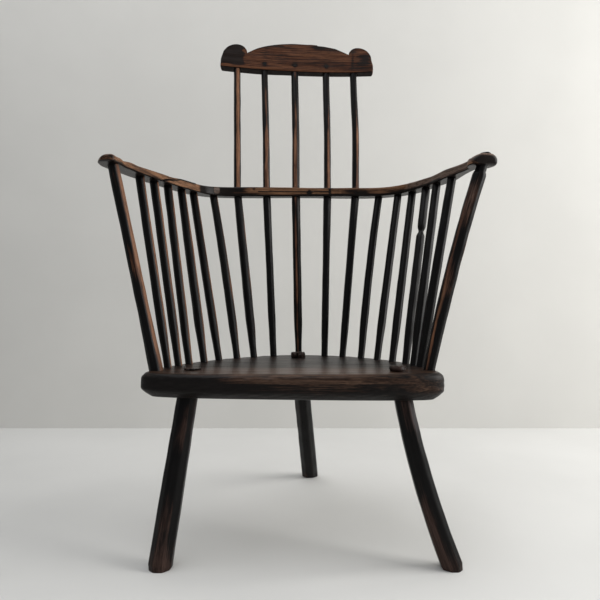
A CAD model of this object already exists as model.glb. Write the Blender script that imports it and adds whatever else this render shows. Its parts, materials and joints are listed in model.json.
"""Comb-back chair: the visual model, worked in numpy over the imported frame.

Lengths are millimetres in the frame's own axes (X right, Y back, Z up) until a skin is laid,
where they become metres.
"""
import json
import logging
from dataclasses import dataclass
from enum import Enum

import bpy
import numpy as np
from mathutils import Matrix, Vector

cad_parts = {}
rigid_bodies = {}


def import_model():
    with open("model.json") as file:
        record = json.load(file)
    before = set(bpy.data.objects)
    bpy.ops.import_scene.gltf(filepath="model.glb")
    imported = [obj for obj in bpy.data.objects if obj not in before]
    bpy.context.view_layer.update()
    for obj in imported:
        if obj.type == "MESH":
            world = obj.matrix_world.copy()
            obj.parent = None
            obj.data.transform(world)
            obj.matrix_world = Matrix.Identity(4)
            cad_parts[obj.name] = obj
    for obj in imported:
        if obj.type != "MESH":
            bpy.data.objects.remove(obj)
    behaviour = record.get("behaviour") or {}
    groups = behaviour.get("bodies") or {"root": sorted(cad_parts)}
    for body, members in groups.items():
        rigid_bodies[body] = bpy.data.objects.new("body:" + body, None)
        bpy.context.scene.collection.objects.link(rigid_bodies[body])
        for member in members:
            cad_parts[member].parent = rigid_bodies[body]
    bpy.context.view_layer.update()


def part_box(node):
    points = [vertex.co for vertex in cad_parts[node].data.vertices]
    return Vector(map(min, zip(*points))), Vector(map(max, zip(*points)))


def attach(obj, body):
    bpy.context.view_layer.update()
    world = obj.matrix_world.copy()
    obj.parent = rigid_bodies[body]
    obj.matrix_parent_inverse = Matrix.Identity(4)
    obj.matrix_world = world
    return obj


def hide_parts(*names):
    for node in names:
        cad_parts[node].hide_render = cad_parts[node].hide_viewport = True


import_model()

MM = 0.001
LOG = logging.getLogger("chair")
X_AXIS = np.array([1.0, 0.0, 0.0])
# One turn in radians, as the ripples take it.
ROUND = 6.28
Colour = tuple[float, float, float]
Point = tuple[float, float, float]
Socket = bpy.types.NodeSocket
Tree = bpy.types.NodeTree


class Side(Enum):
    """A side of the chair, as the camera sees it."""

    LEFT = -1
    RIGHT = 1


class Form(Enum):
    """A column of the arm's form table."""

    INNER = 1
    OUTER = 2
    THICK = 3


# Shape functions.


def ease(u: np.ndarray) -> np.ndarray:
    """Smooth step 3u^2 - 2u^3 of u held between 0 and 1.

    Args:
        u: Values to ease.

    Returns:
        Eased values between 0 and 1.
    """
    v = np.clip(u, 0.0, 1.0)
    return v * v * (3.0 - 2.0 * v)


def bump(x: np.ndarray, centre: float, width: float) -> np.ndarray:
    """Bell exp(-((x - centre) / width)^2).

    Args:
        x: Where to read the bell.
        centre: Its peak.
        width: Its half width at 1/e.

    Returns:
        Values between 0 and 1.
    """
    return np.exp(-(((x - centre) / width) ** 2))


def unit(v: np.ndarray) -> np.ndarray:
    """Vectors scaled to length 1 along their last axis."""
    return v / np.linalg.norm(v, axis=-1, keepdims=True)


def ripple(x: np.ndarray, y: np.ndarray, seed: int, reach_x: float, reach_y: float) -> np.ndarray:
    """A quarter of the sum of eight sines of 6.283 (a x / reach_x + b y / reach_y) + c.

    The wave numbers a and b and the phases c are seeded.

    Args:
        x: First coordinate.
        y: Second coordinate, of a shape that broadcasts with x.
        seed: Seed of the wave numbers and phases.
        reach_x: Typical wavelength along x.
        reach_y: Typical wavelength along y.

    Returns:
        Values roughly between -1 and 1.
    """
    waves, spread, turn = 8, 1.6, 6.283
    rng = np.random.default_rng(seed)
    across, along = rng.uniform(-spread, spread, waves), rng.uniform(-spread, spread, waves)
    total = 0.0
    for a, b, c in zip(across, along, rng.uniform(0, ROUND, waves)):
        total = total + np.sin(turn * (a * x / reach_x + b * y / reach_y) + c)
    return total / (waves / 2)


@dataclass(frozen=True)
class Wave:
    """A ripple of a given height."""

    height: float
    seed: int
    reach_x: float
    reach_y: float

    def at(self, x: np.ndarray, y: np.ndarray, seed: int = 0) -> np.ndarray:
        """Its height at x and y, with a piece's own seed added to its seed."""
        return self.height * ripple(x, y, self.seed + seed, self.reach_x, self.reach_y)


def facets(theta: np.ndarray, sides: int, turn: float, keen: float) -> np.ndarray:
    """Radius of a polygon of inscribed radius 1, softened towards a circle.

    The polygon's radius is 1 / cos(a), with a the angle from the nearest flat's middle. A tanh rounds
    its corners off at 0.72 of their height, and keen mixes the result with a circle of about its mean
    radius.

    Args:
        theta: Angles round the section.
        sides: Number of flats.
        turn: Angle of the first flat's middle.
        keen: 1 for crisp flats, 0 for a circle.

    Returns:
        Radii near 1.
    """
    w = 2 * np.pi / sides
    a = (theta - turn + w / 2) % w - w / 2
    top = 1 / np.cos(w / 2) - 1
    soft, gain = 1.6, 1.25
    poly = 1 + top * np.tanh((1 / np.cos(a) - 1) / top * soft) / soft * gain
    return keen * poly + (1 - keen) * (1 + top / 3)


def tube(line: np.ndarray, radius: np.ndarray, theta: np.ndarray) -> np.ndarray:
    """Rings of a radius function carried along a line.

    At each station, with run t along the line, e is X made square to t, f is t x e, and a point is
    line + radius (e cos(theta) + f sin(theta)).

    Args:
        line: Stations, (m, 3).
        radius: Radii, (m, n).
        theta: Angles, (n,).

    Returns:
        Ring points, (m, n, 3).
    """
    t = unit(np.gradient(line, axis=0))
    e = unit(X_AXIS - t * t[:, :1])
    f = np.cross(t, e)
    c, s = np.cos(theta)[None, :, None], np.sin(theta)[None, :, None]
    return line[:, None, :] + radius[..., None] * (e[:, None, :] * c + f[:, None, :] * s)


def round_angles(count: int) -> np.ndarray:
    """Angles of count points round a ring."""
    return np.linspace(0, 2 * np.pi, count + 1)[:-1]


def round_grain(radius: np.ndarray, theta: np.ndarray, along: np.ndarray) -> np.ndarray:
    """Grain coordinates of a round piece: across it twice, then along it."""
    return np.stack([radius * np.cos(theta), radius * np.sin(theta), along + 0 * radius], -1)


def rounded_box(v0: np.ndarray, v1: np.ndarray, z0: np.ndarray, z1: np.ndarray, cut: np.ndarray,
                rise: np.ndarray, slope: np.ndarray | float = 1.0, arc: int = 7, wide: int = 8,
                tall: int = 5) -> np.ndarray:
    """Sections of a box with each corner rounded by its own width and height.

    At the angle a, a corner lies at v = edge - cut (1 - cos^slope a), z = edge - rise (1 - sin^slope a).

    Args:
        v0: Low side of each section, (m,).
        v1: High side.
        z0: Underside.
        z1: Upper side.
        cut: Width of each corner's rounding, (m, 4), anticlockwise from the low corner at v1.
        rise: Its height, (m, 4).
        slope: The corners' exponents, of a shape that broadcasts with (m, 4).
        arc: Points in each corner.
        wide: Points between the corners of a long side.
        tall: Points between the corners of a short side.

    Returns:
        Section points (v, z), (m, n, 2), anticlockwise with v to the right and z up.
    """
    power = np.broadcast_to(slope, cut.shape)
    corners = []
    for k, (sv, sz) in enumerate(((1, -1), (1, 1), (-1, 1), (-1, -1))):
        turn = np.linspace(0, np.pi / 2, arc)
        a = turn if k % 2 else np.pi / 2 - turn
        edge_v, edge_z = (v1 if sv > 0 else v0)[:, None], (z1 if sz > 0 else z0)[:, None]
        v = edge_v - sv * cut[:, k, None] * (1 - np.cos(a) ** power[:, k, None])
        z = edge_z - sz * rise[:, k, None] * (1 - np.sin(a) ** power[:, k, None])
        corners.append(np.stack([v, z], -1))
    parts = []
    for k, here in enumerate(corners):
        after = corners[(k + 1) % 4]
        count = tall if k % 2 == 0 else wide
        u = np.linspace(0, 1, count + 2)[1:-1][None, :, None]
        parts += [here, here[:, -1:] * (1 - u) + after[:, :1] * u]
    return np.concatenate(parts, axis=1)


# Finishes.


def scaled(colour: Colour, by: float) -> Colour:
    """A colour made darker or lighter."""
    return tuple(by * c for c in colour)


@dataclass(frozen=True)
class Span:
    """A smooth step: from start to end as a value goes from low to high."""

    low: float
    high: float
    start: float = 0.0
    end: float = 1.0


@dataclass(frozen=True)
class Noise:
    """A noise: its cells per metre across, through and along the grain, its octaves and its distortion."""

    cells: Point
    detail: float
    twist: float = 0.0
    harsh: float = 0.6


class NodeWork:
    """Shader nodes that every finish uses."""

    @staticmethod
    def noise(tree: Tree, source: Socket, noise: Noise) -> Socket:
        """A noise read on the piece's own grain coordinates.

        Args:
            tree: Node tree to add to.
            source: Grain coordinates in metres.
            noise: The noise.

        Returns:
            The noise's factor.
        """
        at = tree.nodes.new("ShaderNodeMapping")
        at.inputs["Scale"].default_value = noise.cells
        tree.links.new(source, at.inputs["Vector"])
        node = tree.nodes.new("ShaderNodeTexNoise")
        keys = ("Scale", "Detail", "Roughness", "Distortion")
        for key, number in zip(keys, (1.0, noise.detail, noise.harsh, noise.twist)):
            node.inputs[key].default_value = number
        tree.links.new(at.outputs["Vector"], node.inputs["Vector"])
        return node.outputs["Fac"]

    @staticmethod
    def ramp(tree: Tree, value: Socket, span: Span) -> Socket:
        """A smooth ramp.

        Args:
            tree: Node tree to add to.
            value: What it reads.
            span: Its range and its levels.

        Returns:
            Its level.
        """
        node = tree.nodes.new("ShaderNodeMapRange")
        node.interpolation_type = "SMOOTHSTEP"
        keys = ("From Min", "From Max", "To Min", "To Max")
        for key, number in zip(keys, (span.low, span.high, span.start, span.end)):
            node.inputs[key].default_value = number
        tree.links.new(value, node.inputs["Value"])
        return node.outputs["Result"]

    @staticmethod
    def maths(tree: Tree, how: str, a: Socket | float, b: Socket | float,
              c: Socket | float = 0.0) -> Socket:
        """One Math node.

        Args:
            tree: Node tree to add to.
            how: The operation's name.
            a: First value or socket.
            b: Second value or socket.
            c: Third value or socket, where the operation has one.

        Returns:
            Its value.
        """
        node = tree.nodes.new("ShaderNodeMath")
        node.operation = how
        for socket, value in zip(node.inputs, (a, b, c)):
            if isinstance(value, (int, float)):
                socket.default_value = value
            else:
                tree.links.new(value, socket)
        return node.outputs["Value"]

    @staticmethod
    def blend(tree: Tree, share: Socket, a: Socket | Colour, b: Socket | Colour) -> Socket:
        """Mix of two colours.

        Args:
            tree: Node tree to add to.
            share: The second colour's share.
            a: First colour.
            b: Second colour.

        Returns:
            The mixed colour.
        """
        node = tree.nodes.new("ShaderNodeMix")
        node.data_type = "RGBA"
        for key, value in (("Factor_Float", share), ("A_Color", a), ("B_Color", b)):
            socket = next(s for s in node.inputs if s.identifier == key)
            if isinstance(value, tuple):
                socket.default_value = (*value, 1.0)
            else:
                tree.links.new(value, socket)
        return next(s for s in node.outputs if s.identifier == "Result_Color")


@dataclass(frozen=True)
class WoodFinish(NodeWork):
    """A waxed, handled wood: a deep old finish, rubbed through to bare brown where tone is high.

    Each span is how far one noise lightens, darkens or pits the wood, and a name in shade or light is
    what the colour is then multiplied by.
    """

    name: str
    deep: Colour
    rubbed: Colour
    bright: Colour
    dull: Colour = (0.068, 0.052, 0.044)
    blotch: float = 0.55
    streak: float = 0.5
    line: float = 200.0
    line_along: float = 8.0
    line_detail: float = 3.0
    line_twist: float = 0.8
    rough_deep: float = 0.30
    rough_rubbed: float = 0.46
    gloss: float = 0.09
    coat: float = 0.015
    coat_rough: float = 0.24
    relief: float = 0.35
    relief_height: float = 0.0007
    edge: float = 0.12
    fibre: Noise = Noise((520.0, 520.0, 16.0), 4.0, 0.3)
    cloud: Noise = Noise((42.0, 42.0, 17.0), 3.0)
    pore: Noise = Noise((1500.0, 1500.0, 60.0), 1.0)
    lights: Span = Span(0.88, 1.2)
    dark_lines: Span = Span(0.34, 0.5, 0.7, 0.0)
    dark_fibres: Span = Span(0.36, 0.52, 0.6, 0.0)
    pale_fibres: Span = Span(0.45, 0.7, 0.0, 0.5)
    pits: Span = Span(0.34, 0.46, 0.55, 0.0)
    line_lift: float = 0.9
    line_shade: float = 0.4
    fibre_shade: float = 0.45
    pit_shade: float = 0.5
    deep_light: float = 1.9
    dull_light: float = 2.2
    fibre_rough: float = 0.16
    pore_relief: float = 0.3
    cloud_relief: float = 1.4

    def coordinates(self, tree: Tree) -> list[Socket]:
        """The piece's own attributes.

        Args:
            tree: Node tree to add to.

        Returns:
            Its grain coordinates, its tone and its warmth.
        """
        found = []
        for name, output in (("grain", "Vector"), ("tone", "Fac"), ("warmth", "Fac")):
            node = tree.nodes.new("ShaderNodeAttribute")
            node.attribute_name = name
            found.append(node.outputs[output])
        return found

    def build(self) -> bpy.types.Material:
        """The material: deep finish, rubbed brown by tone, streaks, pores, gloss and relief.

        Returns:
            A new Blender material.
        """
        material = bpy.data.materials.new(self.name)
        material.use_nodes = True
        tree = material.node_tree
        shader = tree.nodes["Principled BSDF"]
        grain, tone, warmth = self.coordinates(tree)
        lines = Noise((self.line, self.line, self.line_along), self.line_detail, self.line_twist)
        fibre, figure, cloud, pore = (
            self.noise(tree, grain, noise) for noise in (self.fibre, lines, self.cloud, self.pore))

        worn = self.maths(tree, "MULTIPLY_ADD", cloud, self.blotch, tone)
        worn = self.maths(tree, "MULTIPLY_ADD", fibre, self.streak, worn)
        middle = 0.5 + 0.5 * (self.blotch + self.streak)
        mask = self.ramp(tree, worn, Span(middle - self.edge, middle + self.edge))
        lights = self.maths(tree, "MULTIPLY_ADD", figure, self.line_lift, tone)
        lights = self.ramp(tree, lights, self.lights)
        warm = self.blend(tree, lights, self.rubbed, self.bright)
        cool = self.blend(tree, lights, self.dull, scaled(self.dull, self.dull_light))
        brown = self.blend(tree, warmth, cool, warm)
        share = self.ramp(tree, figure, self.dark_lines)
        brown = self.blend(tree, share, brown, scaled(self.rubbed, self.line_shade))
        share = self.ramp(tree, fibre, self.dark_fibres)
        brown = self.blend(tree, share, brown, scaled(self.rubbed, self.fibre_shade))
        share = self.ramp(tree, fibre, self.pale_fibres)
        old = self.blend(tree, share, self.deep, scaled(self.deep, self.deep_light))
        colour = self.blend(tree, mask, old, brown)
        share = self.ramp(tree, pore, self.pits)
        colour = self.blend(tree, share, colour, scaled(self.deep, self.pit_shade))
        tree.links.new(colour, shader.inputs["Base Color"])

        rough = self.ramp(tree, mask, Span(0.0, 1.0, self.rough_deep, self.rough_rubbed))
        rough = self.maths(tree, "MULTIPLY_ADD", fibre, self.fibre_rough, rough)
        rough = self.maths(tree, "SUBTRACT", rough, self.fibre_rough / 2)
        tree.links.new(rough, shader.inputs["Roughness"])
        shader.inputs["Specular IOR Level"].default_value = self.gloss
        shader.inputs["Coat Weight"].default_value = self.coat
        shader.inputs["Coat Roughness"].default_value = self.coat_rough

        height = self.maths(tree, "MULTIPLY_ADD", pore, self.pore_relief, fibre)
        height = self.maths(tree, "MULTIPLY_ADD", cloud, self.cloud_relief, height)
        rise = tree.nodes.new("ShaderNodeBump")
        rise.inputs["Strength"].default_value = self.relief
        rise.inputs["Distance"].default_value = self.relief_height
        tree.links.new(height, rise.inputs["Height"])
        tree.links.new(rise.outputs["Normal"], shader.inputs["Normal"])
        return material


@dataclass(frozen=True)
class EndGrainFinish(WoodFinish):
    """Wood shown end on or in a small peg, read on Object coordinates because the solid is kept."""

    tone: float = 0.5
    warmth: float = 1.0

    def coordinates(self, tree: Tree) -> list[Socket]:
        """Object coordinates, with a steady tone and warmth.

        Args:
            tree: Node tree to add to.

        Returns:
            The coordinates, the tone and the warmth.
        """
        found = [tree.nodes.new("ShaderNodeTexCoord").outputs["Object"]]
        for level in (self.tone, self.warmth):
            node = tree.nodes.new("ShaderNodeValue")
            node.outputs[0].default_value = level
            found.append(node.outputs[0])
        return found


@dataclass(frozen=True)
class PlainFinish(NodeWork):
    """The floor's and the wall's pale paint."""

    name: str
    colour: Colour
    one_sided: bool = False
    rough: float = 0.8
    gloss: float = 0.2
    cloud_cells: float = 3.0
    cloud_detail: float = 4.0
    clouds: Span = Span(0.3, 0.7)
    shade: float = 0.96

    def build(self) -> bpy.types.Material:
        """A matt paint with a faint cloudiness, which a one-sided sheet shows on its front only.

        Returns:
            A new Blender material.
        """
        material = bpy.data.materials.new(self.name)
        material.use_nodes = True
        tree = material.node_tree
        shader = tree.nodes["Principled BSDF"]
        at = tree.nodes.new("ShaderNodeTexCoord")
        cloud = tree.nodes.new("ShaderNodeTexNoise")
        cloud.inputs["Scale"].default_value = self.cloud_cells
        cloud.inputs["Detail"].default_value = self.cloud_detail
        tree.links.new(at.outputs["Object"], cloud.inputs["Vector"])
        share = self.ramp(tree, cloud.outputs["Fac"], self.clouds)
        colour = self.blend(tree, share, scaled(self.colour, self.shade), self.colour)
        tree.links.new(colour, shader.inputs["Base Color"])
        shader.inputs["Roughness"].default_value = self.rough
        shader.inputs["Specular IOR Level"].default_value = self.gloss
        if self.one_sided:
            side = tree.nodes.new("ShaderNodeNewGeometry").outputs["Backfacing"]
            seen = tree.nodes.new("ShaderNodeLightPath").outputs["Is Camera Ray"]
            mix = tree.nodes.new("ShaderNodeMixShader")
            tree.links.new(self.maths(tree, "MULTIPLY", side, seen), mix.inputs["Fac"])
            tree.links.new(shader.outputs["BSDF"], mix.inputs[1])
            tree.links.new(tree.nodes.new("ShaderNodeBsdfTransparent").outputs["BSDF"], mix.inputs[2])
            tree.links.new(mix.outputs["Shader"], tree.nodes["Material Output"].inputs["Surface"])
        return material


# Making and placing a piece.


def lay_skin(name: str, rings: np.ndarray, grain: np.ndarray, tone: np.ndarray,
             warmth: np.ndarray | float = 1.0, crease: float = 38.0) -> bpy.types.Object:
    """Lays a closed skin over rings and stores its grain coordinates, tone and warmth on its points.

    Quads join ring j's points i and i + 1 to ring j + 1's, and each end is a fan round the mean of
    its ring. The whole is turned over if the sum of a . (b x c) over its triangles is negative.

    Args:
        name: The piece's name.
        rings: Points in millimetres, (m, n, 3).
        grain: Coordinates for the wood's pattern in millimetres, (m, n, 3).
        tone: How rubbed each point is, (m, n).
        warmth: 1 for a red-brown wood, 0 for a grey one, of a shape that broadcasts with (m, n).
        crease: Angle in degrees past which an edge stays sharp.

    Returns:
        The new object at the origin.
    """
    m, n = rings.shape[:2]

    def with_ends(values: np.ndarray) -> np.ndarray:
        """Values of every ring point, then the means of the first and the last ring."""
        tail = values.shape[2:]
        return np.concatenate([values.reshape(-1, *tail), values[:1].mean(1), values[-1:].mean(1)])

    points = with_ends(rings) * MM
    j, i = np.meshgrid(np.arange(m - 1), np.arange(n), indexing="ij")
    a, b = j * n + i, j * n + (i + 1) % n
    quads = np.stack([a, b, b + n, a + n], -1).reshape(-1, 4)
    k = np.arange(n)
    start = np.stack([(k + 1) % n, k, np.full(n, m * n)], -1)
    end = np.stack([(m - 1) * n + k, (m - 1) * n + (k + 1) % n, np.full(n, m * n + 1)], -1)
    fans = np.concatenate([start, end])
    tris = np.concatenate([quads[:, [0, 1, 2]], quads[:, [0, 2, 3]], fans])
    p = points - points.mean(0)
    volume = np.einsum("ij,ij->i", p[tris[:, 0]], np.cross(p[tris[:, 1]], p[tris[:, 2]])).sum()
    if volume < 0:
        quads, fans = quads[:, ::-1], fans[:, ::-1]

    mesh = bpy.data.meshes.new(name)
    mesh.from_pydata(points.tolist(), [], quads.tolist() + fans.tolist())
    mesh.polygons.foreach_set("use_smooth", np.ones(len(quads) + len(fans), bool))
    mesh.set_sharp_from_angle(angle=np.radians(crease))
    spots = mesh.attributes.new("grain", "FLOAT_VECTOR", "POINT").data
    spots.foreach_set("vector", (with_ends(grain) * MM).ravel())
    for key, values in (("tone", tone), ("warmth", warmth)):
        level = with_ends(np.broadcast_to(values, (m, n)))
        mesh.attributes.new(key, "FLOAT", "POINT").data.foreach_set("value", level)
    mesh.validate()
    piece = bpy.data.objects.new(name, mesh)
    bpy.context.scene.collection.objects.link(piece)
    return piece


@dataclass(frozen=True)
class Dab:
    """A worn or a dark place on a surface: a bell over its length and its height."""

    along: float
    reach: float
    up: float
    height: float
    tone: float
    warmth: float = 0.0


def daub(dabs: tuple[Dab, ...], along: np.ndarray, up: np.ndarray) -> tuple[np.ndarray, np.ndarray]:
    """Sums dabs over a surface.

    Args:
        dabs: The dabs.
        along: Where each point lies along the piece.
        up: Where it lies up the piece, of a shape that broadcasts with along.

    Returns:
        Changes of tone and of warmth.
    """
    tone, warmth = 0.0, 0.0
    for dab in dabs:
        bell = bump(along, dab.along, dab.reach) * bump(up, dab.up, dab.height)
        tone, warmth = tone + dab.tone * bell, warmth + dab.warmth * bell
    return tone, warmth


@dataclass
class Bench:
    """Where finished pieces are dressed, fixed to the frame and reported."""

    count: int = 0

    def place(self, piece: bpy.types.Object, material: bpy.types.Material, node: str) -> None:
        """Gives a piece its material and puts it in the place of a node.

        Args:
            piece: The visible piece.
            material: Its finish.
            node: The node that it stands for.
        """
        piece.data.materials.append(material)
        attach(piece, "root")
        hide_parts(node)
        own = np.array(piece.bound_box)
        cad = np.array([list(c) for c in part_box(node)])
        drift = max(np.abs(own.min(0) - cad[0]).max(), np.abs(own.max(0) - cad[1]).max()) / MM
        self.count += 1
        faces = len(piece.data.polygons)
        LOG.info("%s: %d faces, within %.1f mm of its node's box", piece.name, faces, drift)

    def keep(self, node: str, material: bpy.types.Material) -> None:
        """Dresses a node that stays.

        Args:
            node: The node's name.
            material: Its finish.
        """
        solid = next(o for o in bpy.data.objects if o.name == node and o.type == "MESH")
        for slot in solid.material_slots:
            slot.material = material
        self.count += 1
        LOG.info("%s: kept", node)


# The chair's lines.


@dataclass(frozen=True)
class SeatPlan:
    """The seat's outline and the marks on it."""

    height: float = 321.0
    thick: float = 44.0
    taper: float = 6.0
    left: float = 264.0
    right: float = 249.0
    back: float = 317.0
    front: float = 45.0
    y: float = -233.0
    full_left: float = 1.6
    full_right: float = 1.95
    full_front: float = 2.6
    rim_side: float = 18.0
    rim_back: float = 25.0

    def outline(self, angle: np.ndarray, side: float | np.ndarray, end: float | np.ndarray) -> np.ndarray:
        """Rounded quarters: x = rx |cos a|^(2/p), y = y0 + ry |sin a|^(2/p), with p the fullness.

        Args:
            angle: Angles in degrees from the right end of the widest line, anticlockwise.
            side: Inset at the sides.
            end: Inset at the front and back.

        Returns:
            Points (x, y) with a last axis of 2.
        """
        c, s = np.cos(np.radians(angle)), np.sin(np.radians(angle))
        right, back = c >= 0, s >= 0
        full = np.where(back, np.where(right, self.full_right, self.full_left), self.full_front)
        rx = np.where(right, self.right, self.left) - side
        ry = np.where(back, self.back, self.front) - end
        x = np.sign(c) * rx * np.abs(c) ** (2 / full)
        y = self.y + np.sign(s) * ry * np.abs(s) ** (2 / full)
        return np.stack([x, y], -1)

    def hole(self, mark: float, side: Side) -> np.ndarray:
        """A hole's place on the upper face.

        Args:
            mark: Its angle in degrees, from the side's end of the widest line towards the back.
            side: Its side.

        Returns:
            The point.
        """
        angle = 180.0 - mark if side is Side.LEFT else mark
        p = self.outline(np.array(angle), self.rim_side, self.rim_back)
        return np.array([p[0], p[1], self.height])

    def depth(self, x: np.ndarray) -> np.ndarray:
        """Plank thickness at x, since its underside slopes."""
        return self.thick + self.taper * x / (self.left + self.right)


@dataclass(frozen=True)
class ArmPlan:
    """The arm bow's middle line, its sections along it, and the marks on it.

    Pairs along the line are for its left and right half, or a length and the distance of a change.
    A row of the form table holds a length, then shares of the inner width, outer width and thickness.
    """

    height: float = 679.0
    t_back: float = 20.5
    t_side: float = 15.0
    w_back: float = 35.0
    w_side: float = 36.0
    y: float = 129.5
    flat: tuple[float, float] = (142.0, 150.0)
    bend: tuple[float, float] = (104.0, 122.0)
    turn: tuple[float, float] = (63.7, 73.5)
    curve: tuple[float, float] = (1150.0, 2400.0)
    over: float = 31.0
    hand_w: float = 40.0
    hand_in: float = 8.0
    hand_nose: float = 7.0
    hand_step: float = 20.0
    knob_r: float = 25.5
    knob_t: float = 22.5
    knob_out: float = 4.3
    knob_back: float = 26.0
    knob_front: float = 15.0
    knob_step: float = 10.0
    post_left: float = 546.0
    post_right: float = 545.0
    lap_left: float = 89.0
    lap_right: float = 75.0
    scarf_mark: float = -378.0
    scarf_len: float = 110.0
    scarf_nib: float = 3.5
    thinning: tuple[float, float] = (90.0, 250.0)
    widening: tuple[float, float] = (110.0, 150.0)
    hand_swell: tuple[float, float] = (90.0, 80.0)
    blur: tuple[float, ...] = (-5.0, -2.0, 2.0, 5.0)
    crisp: float = 12.0
    tip_left: float = 0.7
    tip_right: float = 0.5
    knob_full: float = 1.7
    knob_square: float = 0.75
    form: tuple[tuple[float, float, float, float], ...] = (
        (-577, 0.95, -0.05, 0.83), (-570, 1.16, 0.28, 0.83), (-560, 1.12, 0.68, 0.83),
        (-552, 1.09, 0.88, 0.83), (-543, 1.05, 1.02, 0.83), (-530, 0.97, 1.08, 0.82),
        (-515, 0.9, 1.12, 0.79), (-490, 1.02, 1.11, 0.82), (-446, 1.14, 1.11, 0.9),
        (-380, 1.14, 1.08, 1.07), (-326, 1.12, 1.12, 1.2), (-290, 1.19, 1.15, 1.12),
        (-242, 1.2, 1.13, 1.05), (-222, 1.03, 1.11, 1.06), (-196, 0.93, 1.06, 1.08),
        (-170, 0.86, 0.86, 1.09), (-97, 0.94, 0.88, 1.045), (-20, 0.82, 0.76, 1.02),
        (31, 0.84, 0.84, 0.96), (97, 1.02, 1.22, 0.93), (155, 0.94, 1.26, 0.98),
        (208, 0.88, 1.19, 1.05), (236, 0.84, 1.18, 1.12), (262, 0.9, 1.04, 1.18),
        (288, 1.08, 1, 1.17), (324, 0.93, 0.98, 1.15), (372, 0.62, 1.06, 1.12),
        (424, 0.78, 1.12, 1.05), (455, 0.68, 0.8, 1.04), (476, 0.56, 0.6, 1.04),
        (498, 0.5, 0.5, 1.05), (522, 0.5, 0.5, 1.05))

    @property
    def end_left(self) -> float:
        """Length from the back's centre to the left hand's tip."""
        return self.post_left + self.over

    @property
    def end_right(self) -> float:
        """Length from the back's centre to the right hand's tip."""
        return self.post_right + self.knob_front

    def line(self, s: np.ndarray) -> tuple[np.ndarray, np.ndarray]:
        """Middle line: a straight back, a bend that turns it, then a long slow curve forwards.

        Args:
            s: Lengths from the back's centre, negative to the left.

        Returns:
            Points (x, y) and headings in radians.
        """
        s = np.asarray(s, float)
        side = (s >= 0).astype(int)
        flat, bend, last, curve = (np.array(pair)[side] for pair in
                                   (self.flat, self.bend, np.radians(self.turn), self.curve))
        a = np.abs(s)
        t = np.minimum(last, np.maximum(0, a - flat) / bend)
        past = np.maximum(0, a - flat - bend * last) / curve
        x = np.minimum(a, flat) + bend * np.sin(t) + curve * (np.sin(last + past) - np.sin(last))
        y = self.y - bend * (1 - np.cos(t)) + curve * (np.cos(last + past) - np.cos(last))
        sign = np.where(s < 0, -1.0, 1.0)
        return np.stack([x * sign, y], -1), (t + past) * sign

    def mark(self, s: float, lift: float = 0.0, out: float = 0.0) -> np.ndarray:
        """A point over the underside at s, lifted and set out from the middle line.

        Args:
            s: Length along the line.
            lift: Height above the underside.
            out: Distance outwards.

        Returns:
            The point.
        """
        p, heading = self.line(np.array(s))
        return np.array([p[0] + out * np.sin(heading), p[1] + out * np.cos(heading), self.height + lift])

    def share(self, s: np.ndarray, column: Form) -> np.ndarray:
        """One column of the form table at s, smoothed over a few millimetres away from the left tip.

        Args:
            s: Lengths from the back's centre.
            column: The column.

        Returns:
            Shares of the plain width or thickness.
        """
        s = np.asarray(s, float)
        table = np.array(self.form)
        soft = np.clip((s + self.end_left) / self.crisp, 0, 1)
        near = [np.interp(s + d * soft, table[:, 0], table[:, column.value]) for d in self.blur]
        return np.mean(near, axis=0)

    @staticmethod
    def dome(u: np.ndarray, full: float) -> np.ndarray:
        """(1 - |u|^full)^(1 / full)."""
        return (1 - np.abs(np.clip(u, -1, 1)) ** full) ** (1 / full)

    def knob_at(self, s: np.ndarray) -> np.ndarray:
        """How far along the knob s lies: -1 at its start, 0 at its post, 1 at its tip."""
        d = np.asarray(s, float) - self.post_right
        return np.clip(d / np.where(d < 0, self.knob_back, self.knob_front), -1, 1)

    def hand_share(self, s: np.ndarray) -> np.ndarray:
        """How much of a hand the section at s has."""
        left = ease((-s - self.post_left + self.hand_step / 2) / self.hand_step)
        return np.where(s < 0, left, ease((s - self.post_right + self.knob_back) / self.knob_step))

    def thick(self, s: np.ndarray) -> np.ndarray:
        """Thickness along the line, with the knob at the right hand.

        Args:
            s: Lengths from the back's centre.

        Returns:
            Thicknesses.
        """
        s = np.asarray(s, float)
        start, over = self.thinning
        plain = self.t_back + (self.t_side - self.t_back) * ease((np.abs(s) - start) / over)
        side = plain * self.share(s, Form.THICK)
        u = self.knob_at(s)
        knob = np.where(u > 0, 1.0, self.dome(u, self.knob_full))
        return np.where(s < 0, side, side + (self.knob_t - side) * knob)

    def fullness(self, s: np.ndarray) -> np.ndarray:
        """Share of the thickness that is left near the ends.

        Args:
            s: Lengths from the back's centre.

        Returns:
            Shares, 1 away from the ends.
        """
        nose = self.dome(np.clip(1 - (s + self.end_left) / self.hand_nose, 0, 1), 2)
        knob = self.dome(np.maximum(0, self.knob_at(s)), 2)
        left = self.tip_left + (1 - self.tip_left) * nose
        return np.where(s < 0, left, self.tip_right + (1 - self.tip_right) * knob)

    def half_width(self, s: np.ndarray, column: Form) -> np.ndarray:
        """Width from the middle line to the inner or to the outer side.

        Args:
            s: Lengths from the back's centre.
            column: The side, as a column of the form table.

        Returns:
            Widths.
        """
        start, over = self.widening
        side = (self.w_back + (self.w_side - self.w_back) * ease((np.abs(s) - start) / over)) / 2
        before, over = self.hand_swell
        left = side + (self.hand_w / 2 - side) * ease((-s - self.post_left + before) / over)
        u, share = self.knob_at(s), self.share(s, column)
        round_knob = self.knob_r * self.dome(u, 2)
        tip = self.knob_square * self.knob_r + (1 - self.knob_square) * round_knob
        right = np.where(u > 0, tip, np.maximum(side * share, round_knob))
        return np.where(s < 0, left * share, right)


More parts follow.
